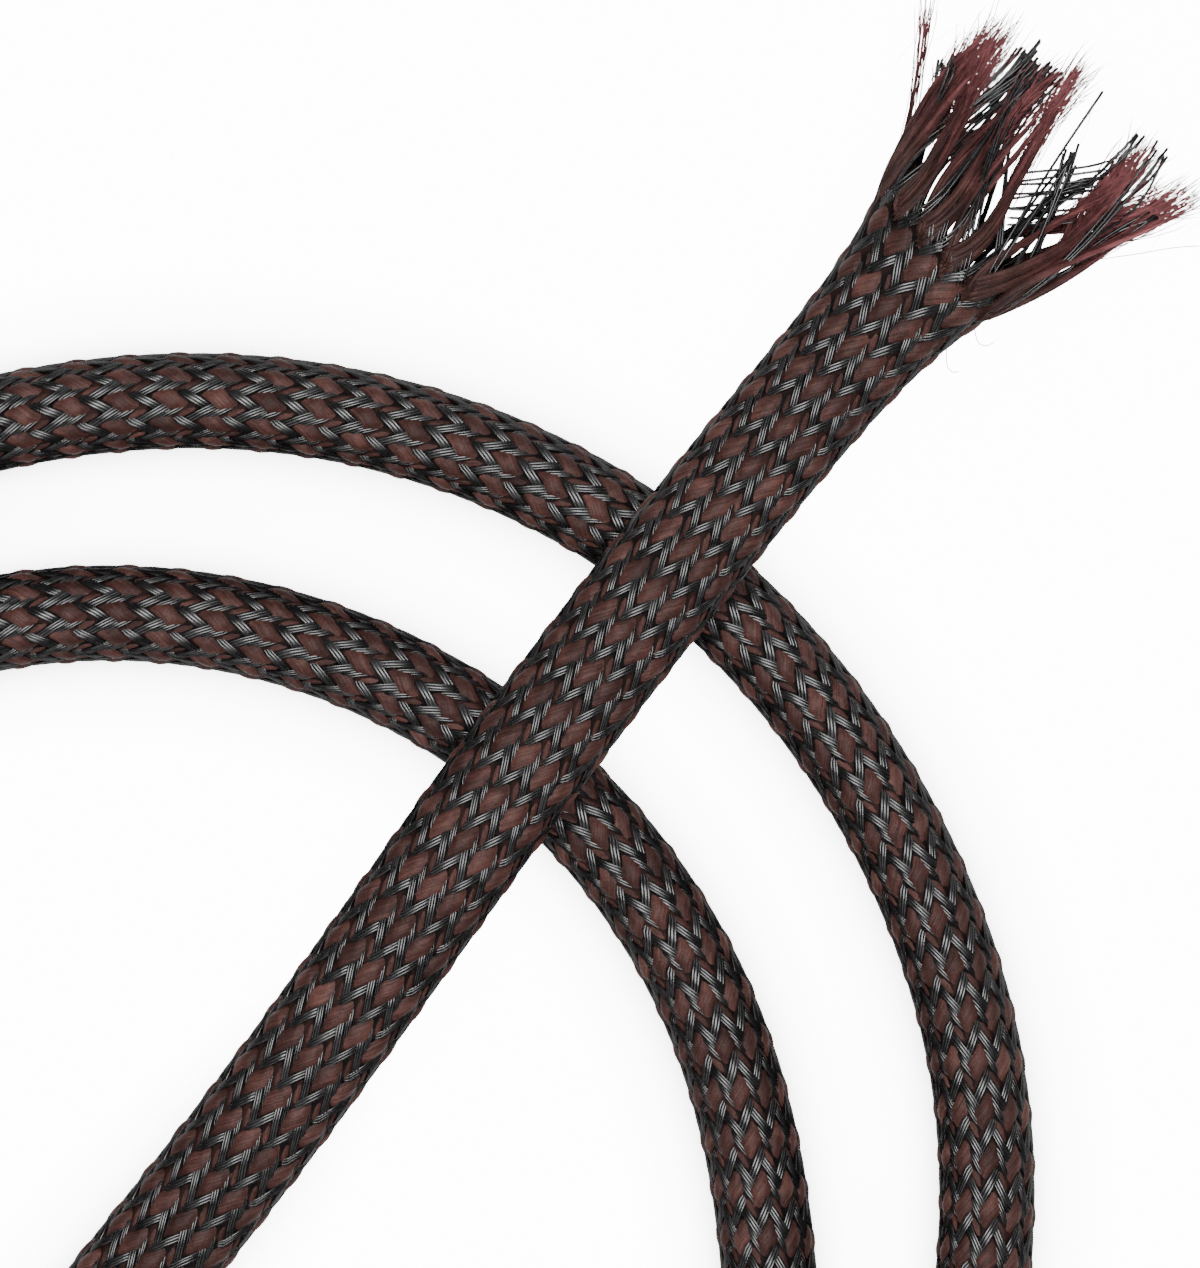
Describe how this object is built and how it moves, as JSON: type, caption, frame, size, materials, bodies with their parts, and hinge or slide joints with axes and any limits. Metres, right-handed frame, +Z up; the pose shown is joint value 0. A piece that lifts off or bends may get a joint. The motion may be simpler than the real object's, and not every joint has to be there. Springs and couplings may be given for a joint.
{
  "type": "braided cable sleeve",
  "caption": "Cut length of hollow braided cable sleeve in brown yarn and black monofilament, lying in loose turns with one frayed open end.",
  "frame": {"origin": "middle of the outline on the floor, at the level that the turns rest on", "axes": "+Z up from the floor; +X along the drawn-out straight end, pointing out of its frayed mouth; +Y to the left of it seen from above"},
  "size_m": [0.2045, 0.16, 0.0204],
  "materials": {
    "braid": "dense tubular braid: dark red-brown multifilament ribbons with near-black glossy monofilament strands in groups of three"
  },
  "bodies": {
    "root": {"braided_sleeve": "braid"}
  },
  "joints": []
}
